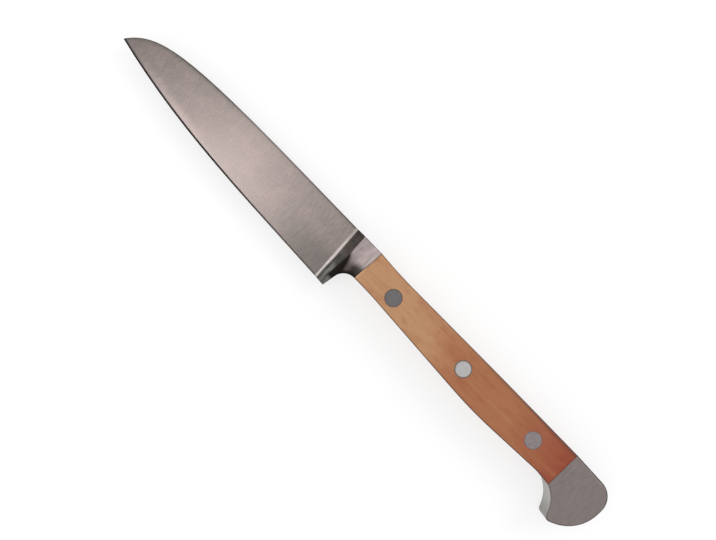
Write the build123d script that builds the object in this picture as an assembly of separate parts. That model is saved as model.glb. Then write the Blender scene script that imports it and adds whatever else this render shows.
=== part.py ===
from build123d import *
import os
from math import cos, pi, radians, sin, tan

# A forged paring knife with two bolsters, lying on its side. Millimetres.
# It is drawn about the foot of the front bolster: X runs from the tip towards the butt, with zero where the
# blade meets the bolster half-way down, Y runs up from the cutting edge, with zero on the spine, and Z runs
# through the thickness, with zero in the middle. The last function moves it onto the table.

# Blade
blade_length = 90.3
blade_height = 19.0
spine_thickness = 2.2
tip_spine_thickness = 1.1
edge_thickness = 0.3
tip_drop = 10.8
spine_curve_length = 66.0
spine_tip_angle = 54.5
spine_tip_pull_share = 0.16
spine_straight_pull_share = 0.78
edge_tip_angle = 12.7
edge_heel_angle = 2.0
edge_pull_share = 0.33
heel_straight_length = 10.0
bevel_angle = 20.0

# Front bolster, from its foot on the blade to the wood
bolster_length = 9.6
foot_lean = 4.5
slope_run = 3.45
ridge_lean = 3.8
joint_lean = 3.2
foot_radius = 1.6
foot_entry_angle = 9.0
heel_back = 3.9
heel_thickness = 4.8
choil_radius = 4.5
choil_lean = 10.0
most_choil_share = 0.9
hollow_top_share = 0.25
hollow_bottom_share = 0.7
hollow_levels = 7

# Handle
handle_thickness = 12.0
handle_length = 82.4
front_height = 10.85
rear_height = 12.05
edge_rounding = 0.6
tang_thickness = 2.4
# The corners of its side view before they are rounded: shares of its length, depths or heights, and radii
spine_dip_share = 0.102
spine_dip = 0.52
spine_dip_radius = 150.0
spine_bend_share = 0.61
spine_bend_radius = 1500.0
spine_swell = 0.14
belly_start_share = 0.072
belly_start_radius = 100.0
belly_share = 0.62
belly_height = 13.2
belly_radius = 150.0
waist_share = 0.957
waist_height = 11.55
waist_radius = 30.0

# Pommel
pommel_length = 16.6
butt_slant = 0.5
butt_height = 15.6
beak_reach = 10.0
beak_drop = 20.1
throat_reach = 4.15
throat_drop = 2.1
top_corner_radius = 6.0
butt_radius = 12.5
beak_radius = 1.7
throat_radius = 12.3
# Rounded corners take no more than this of the sides between them
most_side_share = 0.93

# Rivets
rivet_head_diameter = 5.3
rivet_head_depth = 2.4
rivet_shank_diameter = 3.4
rivet_pin_diameter = 1.9
first_rivet_back = 11.6
last_rivet_ahead = 12.4
front_rivet_depth = 6.65
rear_rivet_depth = 6.2
rivet_fit = 0.02
pin_end_gap = 0.3
rivet_names = ["front_rivet", "middle_rivet", "rear_rivet"]

# How far cutting and trimming bodies run past what they cut, and how near counts as touching
overrun = 2.0
flank_margin = 0.2
touching = 0.02

half_handle = handle_thickness / 2
seat_z = half_handle - rivet_head_depth
rear_joint_x = bolster_length + handle_length


# Lines of the side view, each giving X at a height Y

def foot_x(y):
    return -(y + blade_height / 2) * tan(radians(foot_lean))


def ridge_x(y):
    return foot_x(0) + slope_run - y * tan(radians(ridge_lean))


def front_joint_x(y):
    return bolster_length + y * tan(radians(joint_lean))


def blade_half_thickness(y):
    return (spine_thickness + (edge_thickness - spine_thickness) * -y / blade_height) / 2


def front_outline():
    """Side view of the blade and the front bolster."""
    tip = Vector(-blade_length, -tip_drop)
    straight = Vector(spine_curve_length - blade_length, 0)
    heel = Vector(heel_back, -blade_height)
    joint_top = Vector(front_joint_x(0), 0)
    joint_bottom = Vector(front_joint_x(-front_height), -front_height)

    spine_pull = spine_curve_length * spine_tip_pull_share
    spine_angle = radians(spine_tip_angle)
    spine = Bezier(
        straight,
        straight - Vector(spine_curve_length * spine_straight_pull_share, 0),
        tip + Vector(cos(spine_angle), sin(spine_angle)) * spine_pull,
        tip,
    )

    edge_pull = blade_length * edge_pull_share
    tip_angle = radians(edge_tip_angle)
    heel_angle = radians(edge_heel_angle)
    from_heel = Vector(-cos(heel_angle), sin(heel_angle))
    edge_end = heel + from_heel * heel_straight_length
    edge = Bezier(
        tip,
        tip + Vector(cos(tip_angle), -sin(tip_angle)) * edge_pull,
        edge_end + from_heel * edge_pull,
        edge_end,
    )

    # The choil is an arc under the handle, with a straight leaning run down to the heel
    radius = min(choil_radius, (blade_height - front_height) * most_choil_share)
    centre = joint_bottom - Vector(0, radius)
    lean = radians(choil_lean)
    half_turn = (pi / 2 - lean) / 2
    arc_start = centre + Vector(-cos(lean), sin(lean)) * radius
    arc_middle = centre + Vector(-sin(half_turn), cos(half_turn)) * radius
    choil = ThreePointArc(arc_start, arc_middle, joint_bottom)
    lines = [
        Line(joint_top, straight),
        spine,
        edge,
        Line(edge_end, heel),
        Line(heel, arc_start),
        choil,
        Line(joint_bottom, joint_top),
    ]
    beyond_foot = heel_back - foot_x(-blade_height)
    foot_bottom = heel + from_heel * beyond_foot
    return make_face(lines), [edge, Line(edge_end, foot_bottom)]


def make_blade(outline):
    """The ground blade: thick at the spine and the bolster, thin at the edge and the tip."""
    tip_share = tip_spine_thickness / spine_thickness
    low = -blade_height - overrun
    bottom = blade_half_thickness(low)
    sections = []
    for x, spine_share in ((ridge_x(0), 1), (-blade_length - overrun, tip_share)):
        top = blade_half_thickness(overrun) * spine_share
        corners = [(overrun, -top), (overrun, top), (low, bottom), (low, -bottom)]
        plane = Plane(origin=(x, 0, 0), x_dir=(0, 1, 0), z_dir=(1, 0, 0))
        sections.append(plane * Polygon(*corners, align=None))
    wedge = loft(sections, ruled=True)
    return extrude(outline, spine_thickness, both=True) & wedge


def make_front_bolster(outline):
    """The bolster block with rounded edges, cut by its two front slopes and thinned down to the heel."""
    front_x = foot_x(0) - overrun
    room = 2 * (blade_height + bolster_length)
    window = Pos(front_x, 0) * Rectangle(room, room, align=(Align.MIN, Align.CENTER))
    block = extrude(outline & window, half_handle, both=True)

    def is_rounded(edge):
        middle = edge.position_at(0.5)
        on_side = abs(abs(middle.Z) - half_handle) < touching
        on_spine = abs(middle.Y) < touching
        on_choil = middle.X > heel_back - touching and middle.Y < -front_height
        return on_side and (on_spine or on_choil)

    block = fillet(block.edges().filter_by(is_rounded), edge_rounding)

    # Plan sections of the trimming body, one above the other from the spine to below the heel. Each rises
    # gently out of the blade, turns up the slope in a small arc and runs back along the flank, which is
    # hollowed out between the shoulder and the thin heel
    hollow_top = blade_height * hollow_top_share
    hollow_depth = blade_height * hollow_bottom_share - hollow_top
    spacing = hollow_depth / (hollow_levels - 1)
    above = round((hollow_top + overrun) / spacing)
    below = round((blade_height + overrun - hollow_top - hollow_depth) / spacing)
    levels = range(-above, hollow_levels + below)
    full_half = half_handle + flank_margin
    sections = []
    for level in levels:
        y = -hollow_top - spacing * level
        fall = min(max(level / (hollow_levels - 1), 0), 1)
        half = heel_thickness / 2 + (full_half - heel_thickness / 2) * (1 + cos(pi * fall)) / 2
        thin = blade_half_thickness(y)
        apex = (foot_x(y) - thin / tan(radians(foot_entry_angle)), 0)
        foot = (foot_x(y), thin)
        ridge = (ridge_x(y), half)
        rear = (front_joint_x(y) + overrun, full_half)
        slope = FilletPolyline(apex, foot, ridge, radius=foot_radius)
        upper = [*slope.edges(), Line(ridge, rear)]
        lower = [mirror(line, Plane.XZ) for line in upper]
        end = Line(rear, (rear[0], -full_half))
        plane = Plane(origin=(0, y, 0), x_dir=(1, 0, 0), z_dir=(0, -1, 0))
        sections.append(plane * make_face([*upper, end, *lower]))
    return block & loft(sections)


def rounded_line(corners, radii):
    """The edges of a line through corners that are rounded, by less where the sides are too short for it."""
    sides = [end - start for start, end in zip(corners, corners[1:])]
    turns = [radians(before.get_angle(after)) for before, after in zip(sides, sides[1:])]
    reaches = [0, *(radius * tan(turn / 2) for radius, turn in zip(radii, turns)), 0]
    fits = []
    for side, start_reach, end_reach in zip(sides, reaches, reaches[1:]):
        fits.append(min(1, side.length * most_side_share / (start_reach + end_reach)))
    fitting = [radius * min(before, after) for radius, before, after in zip(radii, fits, fits[1:])]
    return FilletPolyline(*corners, radius=fitting).edges()


def make_pommel():
    """The steel butt with its beak, flat sides and rounded edges."""
    top = Vector(rear_joint_x, spine_swell)
    bottom = Vector(rear_joint_x, -rear_height)
    butt_x = rear_joint_x + pommel_length
    corners = [
        top,
        Vector(butt_x, spine_swell - butt_slant),
        Vector(butt_x, -butt_height),
        Vector(butt_x - beak_reach, -beak_drop),
        Vector(rear_joint_x + throat_reach, -rear_height - throat_drop),
        bottom,
    ]
    outline = rounded_line(corners, [top_corner_radius, butt_radius, beak_radius, throat_radius])
    body = extrude(make_face([*outline, Line(bottom, top)]), half_handle, both=True)

    def is_rounded(edge):
        middle = edge.position_at(0.5)
        on_side = abs(abs(middle.Z) - half_handle) < touching
        return on_side and middle.X > rear_joint_x + touching

    return fillet(body.edges().filter_by(is_rounded), edge_rounding)


def make_handle_core():
    """The handle between the bolsters, scales and tang together, with its long edges rounded."""

    def at(length_share, y):
        return Vector(bolster_length + handle_length * length_share, y)

    spine_corners = [
        Vector(front_joint_x(0), 0),
        at(spine_dip_share, -spine_dip),
        at(spine_bend_share, 0),
        Vector(rear_joint_x, spine_swell),
    ]
    belly_corners = [
        Vector(front_joint_x(-front_height), -front_height),
        at(belly_start_share, -front_height),
        at(belly_share, -belly_height),
        at(waist_share, -waist_height),
        Vector(rear_joint_x, -rear_height),
    ]
    spine = rounded_line(spine_corners, [spine_dip_radius, spine_bend_radius])
    belly = rounded_line(belly_corners, [belly_start_radius, belly_radius, waist_radius])
    front_end = Line(belly_corners[0], spine_corners[0])
    rear_end = Line(belly_corners[-1], spine_corners[-1])
    body = extrude(make_face([*spine, rear_end, *belly, front_end]), half_handle, both=True)

    def is_rounded(edge):
        middle = edge.position_at(0.5)
        on_side = abs(abs(middle.Z) - half_handle) < touching
        between_joints = front_joint_x(middle.Y) + touching < middle.X < rear_joint_x - touching
        return on_side and between_joints

    return fillet(body.edges().filter_by(is_rounded), edge_rounding)


def rivet_places():
    last = len(rivet_names) - 1
    spacing = (handle_length - first_rivet_back - last_rivet_ahead) / last
    places = []
    for number in range(len(rivet_names)):
        depth = front_rivet_depth + (rear_rivet_depth - front_rivet_depth) * number / last
        places.append(Pos(bolster_length + first_rivet_back + spacing * number, -depth))
    return places


def upright(diameter, length, z=0):
    """A round bar that stands on the height z."""
    return Pos(0, 0, z) * Cylinder(diameter / 2, length, align=(Align.CENTER, Align.CENTER, Align.MIN))


def rivet_cutter():
    """The stepped hole that a rivet fills, from side to side."""
    shank = upright(rivet_shank_diameter + 2 * rivet_fit, handle_thickness, -half_handle)
    seat = upright(rivet_head_diameter + 2 * rivet_fit, rivet_head_depth + overrun, seat_z)
    return shank + seat + Rot(180, 0, 0) * seat


def make_rivet_stud():
    """Head on the shown side, with a pin that goes down into the sleeve."""
    head = upright(rivet_head_diameter, rivet_head_depth, seat_z)
    return head + upright(rivet_pin_diameter, 2 * seat_z - pin_end_gap, pin_end_gap - seat_z)


def make_rivet_sleeve():
    """Head on the hidden side, with a tube through the tang that takes the pin."""
    head = upright(rivet_head_diameter, rivet_head_depth, -half_handle)
    tube = upright(rivet_shank_diameter, 2 * seat_z - pin_end_gap, -seat_z)
    return head + tube - upright(rivet_pin_diameter + 2 * rivet_fit, handle_thickness, -seat_z)


def bevel_cutter(cutting_edge):
    """Sweeps a notched section along the cutting edge, to leave a sharp edge with a small bevel each side."""
    reach = edge_thickness + overrun
    rise = reach * tan(radians(bevel_angle))
    tip_end = cutting_edge[0]
    before = Line(tip_end @ 0 - (tip_end % 0) * overrun, tip_end @ 0)
    path = Wire([before, *cutting_edge])
    corners = [(0, 0), (reach, rise), (-overrun, rise), (-overrun, -rise), (reach, -rise)]
    along = before % 0
    plane = Plane(origin=before @ 0, x_dir=(-along.Y, along.X, 0), z_dir=along)
    return sweep(plane * Polygon(*corners, align=None), path)


def make_forging(core):
    """Blade, bolster, tang and pommel in one piece."""
    outline, cutting_edge = front_outline()
    front = make_blade(outline) + make_front_bolster(outline)
    front -= bevel_cutter(cutting_edge)

    length = 2 * (bolster_length + handle_length)
    tang = core & Box(length, length, tang_thickness)
    forging = front + tang + make_pommel()
    for place in rivet_places():
        forging -= place * rivet_cutter()
    return forging


def make_scales(core):
    """The two wooden scales, each with its stepped rivet holes."""
    length = 2 * (bolster_length + handle_length)
    upper_room = Box(length, length, handle_thickness, align=(Align.CENTER, Align.CENTER, Align.MIN))
    upper_room = Pos(0, 0, tang_thickness / 2) * upper_room
    right = core & upper_room
    left = core & (Rot(180, 0, 0) * upper_room)
    for place in rivet_places():
        right -= place * rivet_cutter()
        left -= place * rivet_cutter()
    return left, right


def make_knife():
    core = make_handle_core()
    left, right = make_scales(core)
    pieces = {"forging": make_forging(core), "left_scale": left, "right_scale": right}
    for name, place in zip(rivet_names, rivet_places()):
        pieces[name + "_stud"] = place * make_rivet_stud()
        pieces[name + "_sleeve"] = place * make_rivet_sleeve()
    return pieces


def main():
    pieces = make_knife()
    # The forging reaches as far as the whole knife does, on every side
    box = pieces["forging"].bounding_box()
    middle = box.center()
    onto_table = Pos(-middle.X, -middle.Y, -box.min.Z)
    os.makedirs("parts", exist_ok=True)
    for name, piece in pieces.items():
        export_step(onto_table * piece, os.path.join("parts", name + ".step"))
        print(name, "volume", round(piece.volume, 1))
    print("size", box.size, "foot of the bolster at", -middle.X, -middle.Y)


main()
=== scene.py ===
import bpy
from math import radians, tan
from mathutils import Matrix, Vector


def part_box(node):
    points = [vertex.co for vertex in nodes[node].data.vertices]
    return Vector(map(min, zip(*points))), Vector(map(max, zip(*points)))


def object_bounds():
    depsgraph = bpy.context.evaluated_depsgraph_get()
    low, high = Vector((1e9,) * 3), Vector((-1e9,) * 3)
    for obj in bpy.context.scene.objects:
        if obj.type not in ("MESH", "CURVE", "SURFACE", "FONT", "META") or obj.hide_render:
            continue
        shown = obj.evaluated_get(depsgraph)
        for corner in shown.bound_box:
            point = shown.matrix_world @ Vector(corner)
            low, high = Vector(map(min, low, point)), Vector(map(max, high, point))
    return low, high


# A forged paring knife lying on its side, seen from straight above
# The scene is in metres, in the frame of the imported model: X from tip to pommel, Y from edge to spine, Z up

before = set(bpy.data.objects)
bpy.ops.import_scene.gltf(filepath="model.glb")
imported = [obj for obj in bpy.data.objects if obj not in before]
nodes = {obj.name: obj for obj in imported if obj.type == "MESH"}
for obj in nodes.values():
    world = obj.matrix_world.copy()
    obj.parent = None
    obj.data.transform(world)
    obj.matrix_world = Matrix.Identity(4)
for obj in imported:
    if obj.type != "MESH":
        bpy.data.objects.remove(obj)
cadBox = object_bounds()
print("knife: loaded", len(nodes), "solid pieces")

# The lines of the knife that its finishes follow, in millimetres of the same frame
# Every depth is measured down from the straight part of the spine

mmPerMetre = 1000.0
lowCorner, highCorner = [corner * mmPerMetre for corner in cadBox]
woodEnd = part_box("right_scale")[1] * mmPerMetre

layout = {
    "tipX": lowCorner.x,
    "rearJointX": woodEnd.x,
    "middleZ": (lowCorner.z + highCorner.z) / 2,
    "spineY": 9.71,          # the straight part of the spine
    "spineTurnX": -33.45,    # where the spine starts to drop
    "tipDrop": 10.8,
    "slowDrop": (0.42, 3),   # share of the drop, and the power of the way to the tip that it follows
    "fastDrop": (0.58, 14),  # the rest of the drop, close to the tip
    "edgeDepth": 18.3,       # where the spine starts to drop
    "edgeRise": 7.8,         # how far the edge has risen at the tip
    "footX": -9.15,          # where the bolster's foot crosses the middle of the blade
    "footDepth": 9.5,        # where footX is measured
    "footLean": 4.5,         # degrees
    "frontJointX": 0.45,     # where the wood starts, at the spine
    "jointLean": 3.2,        # degrees
    "choilX": -0.16,         # middle of the arc between the heel and the wood
    "choilDepth": 15.35,
    "choilRadius": 4.5,
    "wallLevels": (0.0, 0.15),  # an upright wall turns into the top face, by how flat it lies (1 is flat)
}


class Wire:  # a node's output, so that shader maths reads as plain Python
    def __init__(self, finish, socket):
        self.finish = finish
        self.socket = socket

    def maths(self, operation, first, second):
        return self.finish.node("ShaderNodeMath", {"operation": operation}, {0: first, 1: second})

    def __add__(self, other):
        return self.maths("ADD", self, other)

    def __radd__(self, other):
        return self.maths("ADD", other, self)

    def __sub__(self, other):
        return self.maths("SUBTRACT", self, other)

    def __rsub__(self, other):
        return self.maths("SUBTRACT", other, self)

    def __mul__(self, other):
        return self.maths("MULTIPLY", self, other)

    def __rmul__(self, other):
        return self.maths("MULTIPLY", other, self)

    def __truediv__(self, other):
        return self.maths("DIVIDE", self, other)

    def __rtruediv__(self, other):
        return self.maths("DIVIDE", other, self)

    def __pow__(self, other):
        return self.maths("POWER", self, other)

    def __rpow__(self, other):
        return self.maths("POWER", other, self)

    def __neg__(self):
        return self.maths("MULTIPLY", self, -1.0)


class Finish:  # one material and the helpers that fill its node tree
    def __init__(self, name):
        self.material = bpy.data.materials.new(name)
        self.material.use_nodes = True
        self.tree = self.material.node_tree
        self.shader = self.tree.nodes["Principled BSDF"]

    def node(self, kind, settings=None, inputs=None, output=0):
        made = self.tree.nodes.new(kind)
        for key, value in (settings or {}).items():
            if key == "stops":  # a ramp's positions and colours
                self.fillRamp(made.color_ramp, value)
            else:
                setattr(made, key, value)
        for key, value in (inputs or {}).items():
            self.feed(made.inputs[key], value)
        return Wire(self, made.outputs[output])

    def feed(self, socket, value):
        if isinstance(value, Wire):
            self.tree.links.new(value.socket, socket)
        else:
            socket.default_value = value

    def fillRamp(self, ramp, stops):
        while len(ramp.elements) < len(stops):
            ramp.elements.new(1.0)
        for element, (position, colour) in zip(ramp.elements, stops):
            element.position = position
            element.color = colour

    def set(self, **sockets):  # baseColor=..., coatRoughness=... on the shader
        for name, value in sockets.items():
            words = "".join(" " + letter if letter.isupper() else letter for letter in name)
            self.feed(self.shader.inputs[words.title()], value)

    def place(self):  # the point on the knife, in millimetres
        coords = self.node("ShaderNodeTexCoord", output="Object")
        return self.node("ShaderNodeVectorMath", {"operation": "SCALE"}, {0: coords, "Scale": mmPerMetre})

    def parts(self, vector):
        return [self.node("ShaderNodeSeparateXYZ", None, {0: vector}, output=axis) for axis in range(3)]

    def facing(self):  # the way the surface faces, in the knife's frame
        return self.parts(self.node("ShaderNodeTexCoord", output="Normal"))

    def noise(self, vector, marksPerMm, detail, roughness):  # marksPerMm is along X, Y and Z
        stretched = self.node("ShaderNodeVectorMath", {"operation": "MULTIPLY"}, {0: vector, 1: marksPerMm})
        inputs = {"Vector": stretched, "Scale": 1.0, "Detail": detail, "Roughness": roughness}
        return self.node("ShaderNodeTexNoise", None, inputs)

    def rise(self, value, start, full, amount=1.0):  # 0 up to start and amount from full on, smooth between
        inputs = {"Value": value, "From Min": start, "From Max": full, "To Max": amount}
        return self.node("ShaderNodeMapRange", {"interpolation_type": "SMOOTHSTEP"}, inputs)

    def fall(self, value, start, end):  # 1 up to start and 0 from end on, smooth between
        return 1 - self.rise(value, start, end)

    def mix(self, share, under, over, blend="MIX"):  # sockets 6 and 7 and output 2 are the node's colours
        settings = {"data_type": "RGBA", "blend_type": blend}
        return self.node("ShaderNodeMix", settings, {0: share, 6: under, 7: over}, output=2)

    def shade(self, colour, amount):  # the colour times a number
        grey = self.node("ShaderNodeCombineColor", None, {"Red": amount, "Green": amount, "Blue": amount})
        return self.mix(1.0, colour, grey, blend="MULTIPLY")

    def bump(self, height, strength, distance):
        inputs = {"Height": height, "Strength": strength, "Distance": distance}
        return self.node("ShaderNodeBump", None, inputs)


def dress(piece, finish):
    piece.data.materials.clear()
    piece.data.materials.append(finish.material)


# Forged steel: ground blade, bolster slope painted dark as a reflection, polished flank with painted shade in
# its hollow, satin pommel, and painted highlights and shade along its lines

steel = {
    "blade": (0.228, 0.191, 0.180, 1),
    # painted shade along the spine, at the tip and by the heel
    "bladeShade": (0.160, 0.142, 0.132, 1),   # along the spine, at the tip and by the heel
    "bladeWarm": (0.245, 0.200, 0.190, 1),   # soft patches
    # painted dark reflection on the edge bevel, lighter at the heel
    "bevel": (0.016, 0.013, 0.012, 1),
    "bevelHeel": (0.110, 0.098, 0.092, 1),
    # painted highlight along the bolster's foot, also used for the strip by the joint
    "foot": (0.650, 0.585, 0.565, 1),        # the bright line where the bolster rises out of the blade
    # the slope of the bolster is painted dark as a reflection, with painted shade in its tones
    "slope": (0.185, 0.174, 0.157, 1),
    "slopeHeel": (0.150, 0.144, 0.134, 1),
    "flank": (0.330, 0.278, 0.268, 1),
    "flankLight": (0.430, 0.350, 0.350, 1),
    # painted shade in the hollow, by the wood, by the choil and in the crease
    "hollow": (0.016, 0.013, 0.011, 1),
    "pommel": (0.205, 0.176, 0.170, 1),
    # painted reflection in the throat of the hook, darker lower down with painted shade
    "throat": (0.380, 0.365, 0.340, 1),
    "bladeRoughness": 0.25,
    "flankRoughness": 0.26,
    "pommelRoughness": 0.40,
    "markRoughness": 0.10,      # how much the grinding marks add or take away
    "bumpStrength": 0.07,
    "bumpDistance": 0.00002,    # m
    "markBump": 0.4,            # shares of the bump's height
    "lineBump": 0.6,

    # Noises: marks in a millimetre along X, Y and Z, then detail and roughness
    "marks": ((1.2, 0.35, 1.0), 4.0, 0.6),        # short grinding marks from spine to edge
    "lines": ((6.0, 0.4, 1.0), 3.0, 0.6),         # fine lines among them
    "patches": ((0.16, 0.16, 0.16), 3.0, 0.5),    # large and soft
    "heelStreaks": ((1.8, 0.3, 1.0), 2.0, 0.5),
    "flankStreaks": ((0.9, 0.25, 0.9), 3.0, 0.55),

    # Where each change starts, where it is complete and, in a third number, how strong it then is
    # Millimetres past the line of the foot
    "bladeEnd": (-0.15, 0.2),
    "footLineStart": (-0.75, -0.15),
    "footLineEnd": (0.1, 0.62),
    "bevelToHeel": (-50, -8),
    "heelShadeStart": (-30, 0, 1.1),
    "slopeStart": (0.0, 0.6),
    "slopeEnd": (3.6, 4.4),
    "darkLineStart": (0.25, 0.5),   # beside the foot, low on the slope
    "darkLineEnd": (0.8, 1.2),
    "flankLift": (4.0, 7.0, 0.20),
    "byWoodStart": (5.0, 6.8),
    "flankRimStart": (3.4, 4.0, 0.45),

    # Millimetres before the front joint
    "handleStart": (-0.3, -0.1),
    "jointStripStart": (0.25, 0.45),
    "jointStripEnd": (0.7, 1.0),
    "jointLine": (0.1, 0.35),

    # Depths below the spine
    "heelShadeDepth": (4, 17),
    "slopeHeelDepth": (12.0, 14.5),
    "slopeStreakDepth": (9, 13, 0.6),
    "slopeTopDepth": (0.4, 2.0, 0.4),
    "slopeLightDepth": (3.0, 5.5, 0.3),
    "slopeDarkDepth": (7.7, 9.9, 0.9),
    "slopePaleDepth": (11.2, 14.2, 0.6),
    "darkLineDepth": (11.5, 14.0, 0.55),
    "hollowDepth": (6.4, 9.9),
    "byWoodDepth": (6.3, 8.8),
    "byChoilDepth": (5, 7),
    "jointLineDepth": (6, 8),
    "creaseDepth": (5.4, 7.4),
    "creaseHeelDepth": (15.2, 16.8, 0.85),
    "footThinDepth": (10, 14, 0.2),    # the foot line gets thinner, mm
    "footLightDepth": (1, 7, 0.45),
    "footHeelDepth": (13, 18, 0.12),
    "throatDepth": (14, 19, 0.4),

    # Shares of the way from where the spine starts to drop to the tip
    "spineShadeWay": (0.1, 0.6, 0.4),
    "tipShadeWay": (0.6, 1.0, 0.3),
    "darkerWay": (0.25, 0.5, 0.10),
    "edgeLightWay": (0.25, 0.6, 0.26),
    "edgeLightEnd": (0.78, 0.9),

    # Millimetres under the spine's own line, above the edge, from the middle plane and from the choil's arc
    "spineShadeBand": (0.1, 2.2),
    "spineLine": (0.1, 0.8),
    "edgeBand": (0.9, 3.8),
    "bevelHalf": (0.15, 0.22),
    "choilRim": (0.3, 1.5),

    # How flat the surface lies (1 is flat), and how far it faces the tip, the edge or the spine (1 is fully)
    "flankRimLevels": (0.50, 0.97),
    "pommelRimLevels": (0.75, 0.99),
    "bevelLevels": (0.5, 0.7),
    "throatLevels": (0.3, 0.8),
    "slopeFacing": (0.2, 0.45),
    "throatFacing": (0.25, 0.6),
    "bevelFacing": (0.15, 0.28),
    "spineFacing": (0.0, 0.3, 0.35),

    # By a noise's value, between 0 and 1
    "warmPatches": (0.45, 0.65),
    "pommelPatches": (0.4, 0.6, 0.3),
    "heelStreakShare": (0.35, 0.62),
    "flankStreakShare": (0.35, 0.65),

    # The crease behind the slope lies between two leaning lines: X past the foot, at a depth, and the lean
    "creaseFront": (3.35, 6.0, -0.13),
    "creaseBack": (3.5, 6.5, 0.26),
    "creaseFrontBlur": (-0.3, 0.3),
    "creaseBackBlur": (-0.4, 0.9),

    # Tones: a colour times a number, and what a noise adds to that number
    "tone": 0.68,
    "markTone": 0.48,
    "lineTone": 0.16,
    "slopeTone": 0.75,
    "slopeMarkTone": 0.5,
    "slopeTopTone": 0.6,     # at the spine
    "flankTone": 0.86,
    "throatTone": 1.12,
    "throatPatchTone": 0.2,  # taken away

    # How strong the other darker and lighter places are
    "spineShade": 0.3,        # at the bolster
    "spineLineDark": 0.55,
    "hollowDark": 0.65,
    "byWoodDark": 0.80,
    "jointStripLight": 0.2,
    "jointLineDark": 0.4,
    "wallShare": 0.85,       # of the pommel's tone on the bolster's upright walls
    "pommelRimDark": 0.4,
    "footLight": 0.45,       # at the spine

    "hollowWander": 1.5,     # mm that the streaks move the upper edge of the hollow
    "byWoodX": 7.0,          # mm past the foot, where byWoodDepth is measured
    "byWoodLean": 0.4,
}


class Spot:  # where a point lies on the forging, and the marks that all its finishes share
    def __init__(self, finish):
        self.finish = finish
        self.place = finish.place()
        self.x, y, self.z = finish.parts(self.place)
        self.faceX, self.faceY, faceZ = finish.facing()
        self.level = faceZ * faceZ  # 1 where the surface lies flat
        self.ontop = finish.rise(self.level, *layout["wallLevels"])  # 0 on upright walls
        self.depth = layout["spineY"] - y
        footShift = (self.depth - layout["footDepth"]) * tan(radians(layout["footLean"]))
        self.pastFoot = self.x - layout["footX"] - footShift
        jointShift = self.depth * tan(radians(layout["jointLean"]))
        self.beforeJoint = layout["frontJointX"] - jointShift - self.x
        self.marks = finish.noise(self.place, *steel["marks"])
        self.lines = finish.noise(self.place, *steel["lines"])
        self.patches = finish.noise(self.place, *steel["patches"])

    def byDepth(self, change):  # rises with the depth, as the steel's value of that name says
        return self.finish.rise(self.depth, *steel[change])

    def byFoot(self, change):  # rises with the distance past the foot
        return self.finish.rise(self.pastFoot, *steel[change])

    def pastLine(self, line):  # how far the point lies past a line that leans with the depth
        pastFoot, depth, lean = line
        return self.pastFoot - (pastFoot + (self.depth - depth) * lean)


def bladeColour(finish, spot):
    # The spine drops slowly at first and fast by the tip
    wayToTip = (layout["spineTurnX"] - spot.x) / (layout["spineTurnX"] - layout["tipX"])
    wayToTip = finish.node("ShaderNodeMath", {"operation": "MAXIMUM"}, {0: wayToTip, 1: 0.0})
    slowShare, slowPower = layout["slowDrop"]
    fastShare, fastPower = layout["fastDrop"]
    drop = slowShare * wayToTip ** slowPower + fastShare * wayToTip ** fastPower
    underSpine = spot.depth - layout["tipDrop"] * drop

    # Painted shade darkens the steel along the spine, at the tip and by the heel, and a painted highlight
    # lightens it along the middle of the edge
    paintedShade = finish.fall(underSpine, *steel["spineShadeBand"])
    paintedShade = paintedShade * (steel["spineShade"] + finish.rise(wayToTip, *steel["spineShadeWay"]))
    paintedShade = paintedShade + finish.rise(wayToTip, *steel["tipShadeWay"])
    paintedShade = paintedShade + spot.byFoot("heelShadeStart") * spot.byDepth("heelShadeDepth")
    aboveEdge = layout["edgeDepth"] - layout["edgeRise"] * wayToTip ** 2 - spot.depth
    edgeLight = finish.fall(aboveEdge, *steel["edgeBand"])
    edgeLight = edgeLight * finish.rise(wayToTip, *steel["edgeLightWay"])
    edgeLight = edgeLight * finish.fall(wayToTip, *steel["edgeLightEnd"])

    warm = finish.rise(spot.patches, *steel["warmPatches"])
    blade = finish.mix(warm, steel["blade"], steel["bladeWarm"])
    blade = finish.mix(finish.rise(paintedShade, 0.0, 1.0), blade, steel["bladeShade"])
    # Painted shade darkens the blade towards the tip, and the painted highlight is added along the edge
    blade = finish.shade(blade, 1 - finish.rise(wayToTip, *steel["darkerWay"]) + edgeLight)
    # A painted line of shade runs along the spine
    spineLine = finish.fall(underSpine, *steel["spineLine"]) * spot.ontop
    blade = finish.shade(blade, 1 - steel["spineLineDark"] * spineLine)

    # The bevel is painted near black as a dark reflection, and lighter at the heel
    bevel = finish.mix(spot.byFoot("bevelToHeel"), steel["bevel"], steel["bevelHeel"])
    bevelled = finish.rise(-spot.faceY, *steel["bevelFacing"])
    bevelled = bevelled * finish.rise(spot.level, *steel["bevelLevels"])
    fromMiddle = ((spot.z - layout["middleZ"]) ** 2) ** 0.5
    bevelled = bevelled * finish.fall(fromMiddle, *steel["bevelHalf"])
    return finish.mix(bevelled, blade, bevel)


def slopeColour(finish, spot):
    # The slope is painted dark as a reflection, with a darker line of painted shade beside the foot, and has
    # pale streaks towards the heel
    slope = finish.mix(spot.byDepth("slopeHeelDepth"), steel["slope"], steel["slopeHeel"])
    streaks = finish.noise(spot.place, *steel["heelStreaks"])
    streaks = finish.rise(streaks, *steel["heelStreakShare"]) - 0.5
    streaks = streaks * spot.byDepth("slopeStreakDepth")
    slope = finish.shade(slope, steel["slopeTone"] + spot.marks * steel["slopeMarkTone"] + streaks)
    # Painted shade and light vary its tone with the depth
    tone = steel["slopeTopTone"] + spot.byDepth("slopeTopDepth") + spot.byDepth("slopeLightDepth")
    tone = tone - spot.byDepth("slopeDarkDepth") + spot.byDepth("slopePaleDepth")
    slope = finish.shade(slope, tone)
    darkLine = spot.byFoot("darkLineStart") * (1 - spot.byFoot("darkLineEnd"))
    return finish.shade(slope, 1 - darkLine * spot.byDepth("darkLineDepth"))


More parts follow.
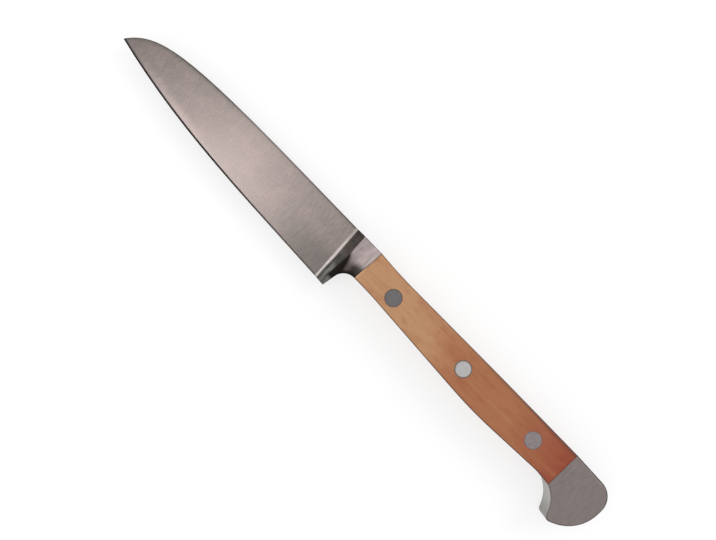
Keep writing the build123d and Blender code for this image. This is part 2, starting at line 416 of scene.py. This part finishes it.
def flankColour(finish, spot):
    # The flank is polished, with soft streaks
    streaks = finish.noise(spot.place, *steel["flankStreaks"])
    light = finish.rise(streaks, *steel["flankStreakShare"])
    flank = finish.mix(light, steel["flank"], steel["flankLight"])
    flank = finish.shade(flank, steel["flankTone"] + spot.byFoot("flankLift"))

    # Painted shade darkens it down into the hollow, by the wood and by the choil
    sinking = spot.depth + (streaks - 0.5) * steel["hollowWander"]
    sinking = finish.rise(sinking, *steel["hollowDepth"]) * spot.ontop
    byWood = spot.depth + (spot.pastFoot - steel["byWoodX"]) * steel["byWoodLean"]
    byWood = finish.rise(byWood, *steel["byWoodDepth"]) * spot.byFoot("byWoodStart") * spot.ontop
    fromArc = ((spot.x - layout["choilX"]) ** 2 + (spot.depth - layout["choilDepth"]) ** 2) ** 0.5
    byChoil = finish.fall(fromArc - layout["choilRadius"], *steel["choilRim"])
    byChoil = byChoil * spot.byDepth("byChoilDepth") * spot.ontop
    for share in (sinking * steel["hollowDark"], byWood * steel["byWoodDark"], byChoil):
        flank = finish.mix(share, flank, steel["hollow"])

    # A pale strip of painted highlight and a dark line run along the joint with the wood
    strip = finish.rise(spot.beforeJoint, *steel["jointStripStart"])
    strip = strip * finish.fall(spot.beforeJoint, *steel["jointStripEnd"])
    strip = strip * steel["jointStripLight"] * (1 - sinking) * (1 - byWood)
    flank = finish.mix(strip, flank, steel["foot"])
    line = finish.fall(spot.beforeJoint, *steel["jointLine"]) * (1 - spot.byDepth("jointLineDepth"))
    flank = finish.shade(flank, 1 - steel["jointLineDark"] * line * spot.ontop)

    # The slope, painted dark as a reflection, and a crease painted black as shade lie in front of the flank
    sloping = finish.rise(-spot.faceX, *steel["slopeFacing"])
    sloping = sloping * spot.byFoot("slopeStart") * (1 - spot.byFoot("slopeEnd"))
    flank = finish.mix(sloping, flank, slopeColour(finish, spot))
    crease = finish.rise(spot.pastLine(steel["creaseFront"]), *steel["creaseFrontBlur"])
    crease = crease * finish.fall(spot.pastLine(steel["creaseBack"]), *steel["creaseBackBlur"])
    crease = crease * spot.byDepth("creaseDepth") * (1 - spot.byDepth("creaseHeelDepth")) * spot.ontop
    flank = finish.mix(crease, flank, steel["hollow"])

    # The rounded edges are darker with painted shade, and the upright walls are satin like the pommel
    rim = finish.fall(spot.level, *steel["flankRimLevels"]) * spot.byFoot("flankRimStart")
    flank = finish.shade(flank, 1 - rim * spot.ontop)
    return finish.mix((1 - spot.ontop) * steel["wallShare"], flank, steel["pommel"])


def pommelColour(finish, spot):
    # The rounded edges are darker with painted shade, most of all on the spine side
    patched = finish.rise(spot.patches, *steel["pommelPatches"])
    pommel = finish.mix(patched, steel["pommel"], steel["blade"])
    rim = finish.fall(spot.level, *steel["pommelRimLevels"]) * spot.ontop
    rim = rim * (steel["pommelRimDark"] + finish.rise(spot.faceY, *steel["spineFacing"]))
    pommel = finish.shade(pommel, 1 - rim)

    # The throat, the inside of the hook, is painted lighter as a reflection and darker towards its lower end
    # as shade
    inThroat = finish.rise(-spot.faceX, *steel["throatFacing"])
    inThroat = inThroat * finish.fall(spot.level, *steel["throatLevels"])
    tone = steel["throatTone"] - spot.byDepth("throatDepth") - spot.patches * steel["throatPatchTone"]
    return finish.mix(inThroat, pommel, finish.shade(steel["throat"], tone))


# The foot line is a painted highlight
def footShare(finish, spot):  # the bright line along the foot, thinner and a little duller towards the heel
    end = spot.pastFoot + spot.byDepth("footThinDepth")
    line = spot.byFoot("footLineStart") * finish.fall(end, *steel["footLineEnd"])
    light = steel["footLight"] + spot.byDepth("footLightDepth") - spot.byDepth("footHeelDepth")
    return line * light * spot.ontop


def makeSteel():
    finish = Finish("forged_steel_finish")
    spot = Spot(finish)
    onBlade = 1 - spot.byFoot("bladeEnd")
    onHandle = finish.fall(spot.beforeJoint, *steel["handleStart"])  # pommel and tang
    colour = finish.mix(onBlade, flankColour(finish, spot), bladeColour(finish, spot))
    colour = finish.mix(onHandle, colour, pommelColour(finish, spot))
    colour = finish.mix(footShare(finish, spot), colour, steel["foot"])
    tone = steel["tone"] + spot.marks * steel["markTone"] + spot.lines * steel["lineTone"]
    colour = finish.shade(colour, tone)

    roughness = onBlade * (steel["bladeRoughness"] - steel["flankRoughness"])
    roughness = roughness + onHandle * (steel["pommelRoughness"] - steel["flankRoughness"])
    roughness = roughness + steel["flankRoughness"] + (spot.marks - 0.5) * steel["markRoughness"]
    height = spot.marks * steel["markBump"] + spot.lines * steel["lineBump"]
    bump = finish.bump(height, steel["bumpStrength"], steel["bumpDistance"])
    finish.set(baseColor=colour, metallic=1.0, roughness=roughness, normal=bump)
    return finish


dress(nodes["forging"], makeSteel())
print("knife: steel dressed")

# Wood: light tan behind the front bolster, reddish brown by the pommel, with fine grain along the handle

wood = {
    "front": (0.488, 0.256, 0.127, 1),
    "middle": (0.375, 0.140, 0.058, 1),
    "rear": (0.272, 0.050, 0.018, 1),
    "figure": (0.290, 0.080, 0.030, 1),
    "golden": (0.460, 0.215, 0.085, 1),
    "pale": (0.640, 0.420, 0.240, 1),    # the line where the wood meets the front bolster
    # painted shade on the rounded edges and the spine side, and the dark joints at the ends
    "edge": (0.060, 0.022, 0.013, 1),
    "roughness": 0.45,
    "grainRoughness": 0.15,
    "poreRoughness": 0.1,
    "specular": 0.35,
    "bumpStrength": 0.25,
    "bumpDistance": 0.00004,    # m
    "grainBump": 0.6,           # shares of the bump's height
    "poreBump": 0.4,
    "tone": 0.86,               # the colour times this number, and what grain and pores add and take away
    "grainTone": 0.28,
    "poreTone": 0.14,
    "toneStops": (0.25, 0.47, 0.75, 1.0),   # shares of the length: front ends, middle starts and ends, rear
    "toneWander": 0.45,         # how far the drift moves the stops
    "toneTilt": 0.012,          # the stops come earlier for each mm towards the spine
    "tiltY": 3.0,               # mm, where they come as written

    # Noises: marks in a millimetre along X, Y and Z, then detail and roughness
    "drift": ((0.05, 0.16, 0.16), 3.0, 0.5),
    "flames": ((0.22, 0.45, 0.45), 4.0, 0.55),
    "bands": ((0.06, 0.75, 0.75), 4.0, 0.6),
    "grain": ((0.3, 5.0, 5.0), 4.0, 0.65),
    "pores": ((0.9, 9.0, 9.0), 2.0, 0.5),

    # Where each change starts, where it is complete and, in a third number, how strong it then is
    "flameShare": (0.50, 0.68, 0.28),   # by the noise's value
    "bandShare": (0.50, 0.75, 0.40),
    "goldenShare": (0.48, 0.30, 0.30),
    "poreShare": (0.60, 0.72),
    "rimLevels": (0.45, 0.98),          # how flat the surface lies
    "rimAlong": (0.15, 0.7, 0.25),      # share of the length
    "spineAlong": (0.2, 0.9, 0.5),
    "spineDepth": (0.2, 1.5),           # mm below the spine
    "lowDepth": (5, 8),
    "frontEnd": (0.1, 0.45),            # mm behind the front joint
    "paleEnd": (0.2, 0.6),
    "rearEnd": (-0.5, -0.15, 0.55),     # mm before the rear joint
    "rimDark": 0.70,
    "sideDark": 0.2,                    # share of rimDark on the upright sides
    "frontEndDark": 0.35,
    "paleLight": 0.55,
}


def makeWood():
    finish = Finish("oiled_wood_finish")
    place = finish.place()
    x, y = finish.parts(place)[:2]
    faceZ = finish.facing()[2]
    level = faceZ * faceZ
    length = (x - layout["frontJointX"]) / (layout["rearJointX"] - layout["frontJointX"])

    # The tone drifts along the handle, a little earlier on the spine side
    drift = finish.noise(place, *wood["drift"])
    tone = length + (drift - 0.5) * wood["toneWander"] + (y - wood["tiltY"]) * wood["toneTilt"]
    colours = (wood["front"], wood["middle"], wood["middle"], wood["rear"])
    stops = list(zip(wood["toneStops"], colours))
    colour = finish.node("ShaderNodeValToRGB", {"stops": stops}, {"Fac": tone})

    # Figure: soft flames, long bands, golden flecks and fine grain lines with short dark pores
    flames = finish.noise(place, *wood["flames"])
    colour = finish.mix(finish.rise(flames, *wood["flameShare"]), colour, wood["figure"])
    bands = finish.noise(place, *wood["bands"])
    colour = finish.mix(finish.rise(bands, *wood["bandShare"]), colour, wood["figure"])
    colour = finish.mix(finish.rise(bands, *wood["goldenShare"]), colour, wood["golden"])
    grain = finish.noise(place, *wood["grain"])
    pores = finish.noise(place, *wood["pores"])
    pitted = finish.rise(pores, *wood["poreShare"])
    colour = finish.shade(colour, wood["tone"] + grain * wood["grainTone"] - pitted * wood["poreTone"])

    # The rounded edges and the spine side are darker with painted shade, most of all at the rear, and the
    # ends of the wood are darker at the joints
    ontop = finish.rise(level, *layout["wallLevels"])  # 0 on the upright sides
    depth = layout["spineY"] - y
    rim = finish.fall(level, *wood["rimLevels"]) * (wood["rimDark"] + finish.rise(length, *wood["rimAlong"]))
    rim = rim * (wood["sideDark"] + (1 - wood["sideDark"]) * ontop)
    fromFront = x - layout["frontJointX"] + depth * tan(radians(layout["jointLean"]))
    low = finish.rise(depth, *wood["lowDepth"])
    ends = finish.fall(fromFront, *wood["frontEnd"]) * (1 - low) * wood["frontEndDark"]
    ends = ends + finish.rise(x - layout["rearJointX"], *wood["rearEnd"])
    spineSide = finish.fall(depth, *wood["spineDepth"]) * finish.rise(length, *wood["spineAlong"]) * ontop
    pale = finish.fall(fromFront, *wood["paleEnd"]) * low * ontop * wood["paleLight"]
    colour = finish.mix(pale, colour, wood["pale"])
    for share in (rim, ends, spineSide):
        colour = finish.mix(share, colour, wood["edge"])

    roughness = wood["roughness"] + (grain - 0.5) * wood["grainRoughness"] + pitted * wood["poreRoughness"]
    height = grain * wood["grainBump"] - pitted * wood["poreBump"]
    bump = finish.bump(height, wood["bumpStrength"], wood["bumpDistance"])
    finish.set(baseColor=colour, roughness=roughness, normal=bump)
    finish.shader.inputs["Specular IOR Level"].default_value = wood["specular"]
    return finish


woodFinish = makeWood()
for scale in ("left_scale", "right_scale"):
    dress(nodes[scale], woodFinish)
print("knife: wood dressed")

# Rivets: round steel heads flush with the wood

rivets = {
    "plain": (0.142, 0.134, 0.138, 1),
    "bright": (0.430, 0.425, 0.415, 1),
    "rear": (0.245, 0.212, 0.215, 1),
    "rim": (0.060, 0.050, 0.044, 1),
    "ring": (0.150, 0.125, 0.105, 1),   # round the bright middle of the second rivet
    "innerRadius": 2.30,  # mm, of the face inside its rim
    "discRadius": 2.10,   # mm, of the bright middle
    "rimBlur": 0.4,       # mm
    "roughness": 0.36,
    "speckleRoughness": 0.12,
    "bumpStrength": 0.1,
    "bumpDistance": 0.00002,    # m
    "speckle": ((0.9, 0.9, 0.9), 4.0, 0.6),   # marks in a millimetre, detail and roughness
    "turned": ((1.5, 6.0, 6.0), 3.0, 0.5),
    "tone": 0.70,         # the colour times this number, and what the noises add to it
    "speckleTone": 0.40,
    "turnedTone": 0.20,
}


def makeRivet(name, colour, rim, innerRadius):
    finish = Finish(name + "_finish")
    low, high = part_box(name + "_stud")
    middle = (low + high) / 2 * mmPerMetre
    place = finish.place()
    inputs = {0: place, 1: (middle.x, middle.y, 0)}
    offset = finish.node("ShaderNodeVectorMath", {"operation": "SUBTRACT"}, inputs)
    x, y = finish.parts(offset)[:2]
    radius = (x * x + y * y) ** 0.5
    speckle = finish.noise(place, *rivets["speckle"])
    turned = finish.noise(place, *rivets["turned"])
    onRim = finish.rise(radius, innerRadius, innerRadius + rivets["rimBlur"])
    face = finish.mix(onRim, colour, rim)
    tone = rivets["tone"] + speckle * rivets["speckleTone"] + turned * rivets["turnedTone"]
    face = finish.shade(face, tone)
    roughness = rivets["roughness"] + (speckle - 0.5) * rivets["speckleRoughness"]
    bump = finish.bump(turned, rivets["bumpStrength"], rivets["bumpDistance"])
    finish.set(baseColor=face, metallic=1.0, roughness=roughness, normal=bump)
    return finish


for name, colour, rim, innerRadius in (
    ("front_rivet", rivets["plain"], rivets["rim"], rivets["innerRadius"]),
    ("middle_rivet", rivets["bright"], rivets["ring"], rivets["discRadius"]),
    ("rear_rivet", rivets["rear"], rivets["plain"], rivets["innerRadius"]),
):
    rivetFinish = makeRivet(name, colour, rim, innerRadius)
    dress(nodes[name + "_stud"], rivetFinish)
    dress(nodes[name + "_sleeve"], rivetFinish)
print("knife: rivets dressed")

# Studio: a white floor, an even sky, a soft lamp over the blade and one beside the handle

studio = {
    "floorSize": 6.0,     # m
    "floorGap": 0.0001,   # m below the knife
    "floorColour": (0.33, 0.33, 0.33, 1),
    "floorRoughness": 0.9,
    "floorLift": 0.69,    # added for the camera and for reflections, so that the floor comes out white
    "fibre": ((0.4, 0.4, 0.4), 3.0, 0.5),   # marks in a millimetre, detail and roughness
    "floorTone": 0.99,
    "fibreTone": 0.02,    # what the fibre adds to it
    "skyStrength": 0.82,
    "lamps": [            # name, place, size, watts
        ("blade_lamp", (-0.22, -0.14, 0.9), 0.16, 0.37),
        ("handle_lamp", (0.35, 0.8, 0.75), 0.5, 2.6),
    ],
}


def seen(finish):  # 1 for what the camera sees, straight or in metal and glass
    names = ("Is Camera Ray", "Is Glossy Ray", "Is Transmission Ray")
    straight, glossy, through = [finish.node("ShaderNodeLightPath", output=name) for name in names]
    return finish.node("ShaderNodeMath", {"operation": "MINIMUM"}, {0: straight + glossy + through, 1: 1.0})


def makeFloor():
    half = studio["floorSize"] / 2
    corners = [(-half, -half, 0), (half, -half, 0), (half, half, 0), (-half, half, 0)]
    mesh = bpy.data.meshes.new("floor")
    mesh.from_pydata(corners, [], [(0, 1, 2, 3)])
    floor = bpy.data.objects.new("floor", mesh)
    floor.location.z = cadBox[0].z - studio["floorGap"]
    bpy.context.scene.collection.objects.link(floor)

    finish = Finish("floor_paper")
    fibre = finish.noise(finish.place(), *studio["fibre"])
    paper = finish.shade(studio["floorColour"], studio["floorTone"] + fibre * studio["fibreTone"])
    finish.set(baseColor=paper, roughness=studio["floorRoughness"])
    lift = finish.node("ShaderNodeEmission", None, {"Strength": seen(finish) * studio["floorLift"]})
    both = finish.node("ShaderNodeAddShader", None, {0: Wire(finish, finish.shader.outputs[0]), 1: lift})
    finish.feed(finish.tree.nodes["Material Output"].inputs["Surface"], both)
    dress(floor, finish)


class Sky(Finish):  # the world's node tree, with the same helpers
    def __init__(self, name):
        world = bpy.data.worlds.new(name)
        world.use_nodes = True
        bpy.context.scene.world = world
        self.tree = world.node_tree
        self.shader = self.tree.nodes["Background"]


def makeSky():
    sky = Sky("studio_sky")
    strength = studio["skyStrength"]
    sky.set(color=(1, 1, 1, 1), strength=strength + seen(sky) * (1 - strength))


def makeLamps():
    for name, place, size, watts in studio["lamps"]:
        data = bpy.data.lights.new(name, "AREA")
        data.shape = "SQUARE"
        data.size = size
        data.energy = watts
        lamp = bpy.data.objects.new(name, data)
        lamp.location = place
        lamp.rotation_euler = (-Vector(place)).to_track_quat("-Z", "Y").to_euler()  # towards the origin
        bpy.context.scene.collection.objects.link(lamp)


makeFloor()
makeSky()
makeLamps()
print("studio: floor, sky and lamps")

# Camera: straight above, turned so that the knife lies aslant as in the photograph

camera = {
    "height": 0.312,      # m above the floor
    "overX": -0.00108,    # m
    "overY": 0.00130,     # m
    "turn": 46.0,         # degrees
    "lens": 51.5,         # mm
    "sensorWidth": 36.0,  # mm
    "nearest": 0.01,      # m
}


def makeCamera():
    data = bpy.data.cameras.new("camera")
    data.sensor_width = camera["sensorWidth"]
    data.lens = camera["lens"]
    data.clip_start = camera["nearest"]
    eye = bpy.data.objects.new("camera", data)
    eye.location = (camera["overX"], camera["overY"], camera["height"])
    eye.rotation_euler = (0, 0, radians(camera["turn"]))
    bpy.context.scene.collection.objects.link(eye)
    bpy.context.scene.camera = eye


makeCamera()
bpy.context.scene.view_settings.view_transform = "Standard"
print("camera: set")
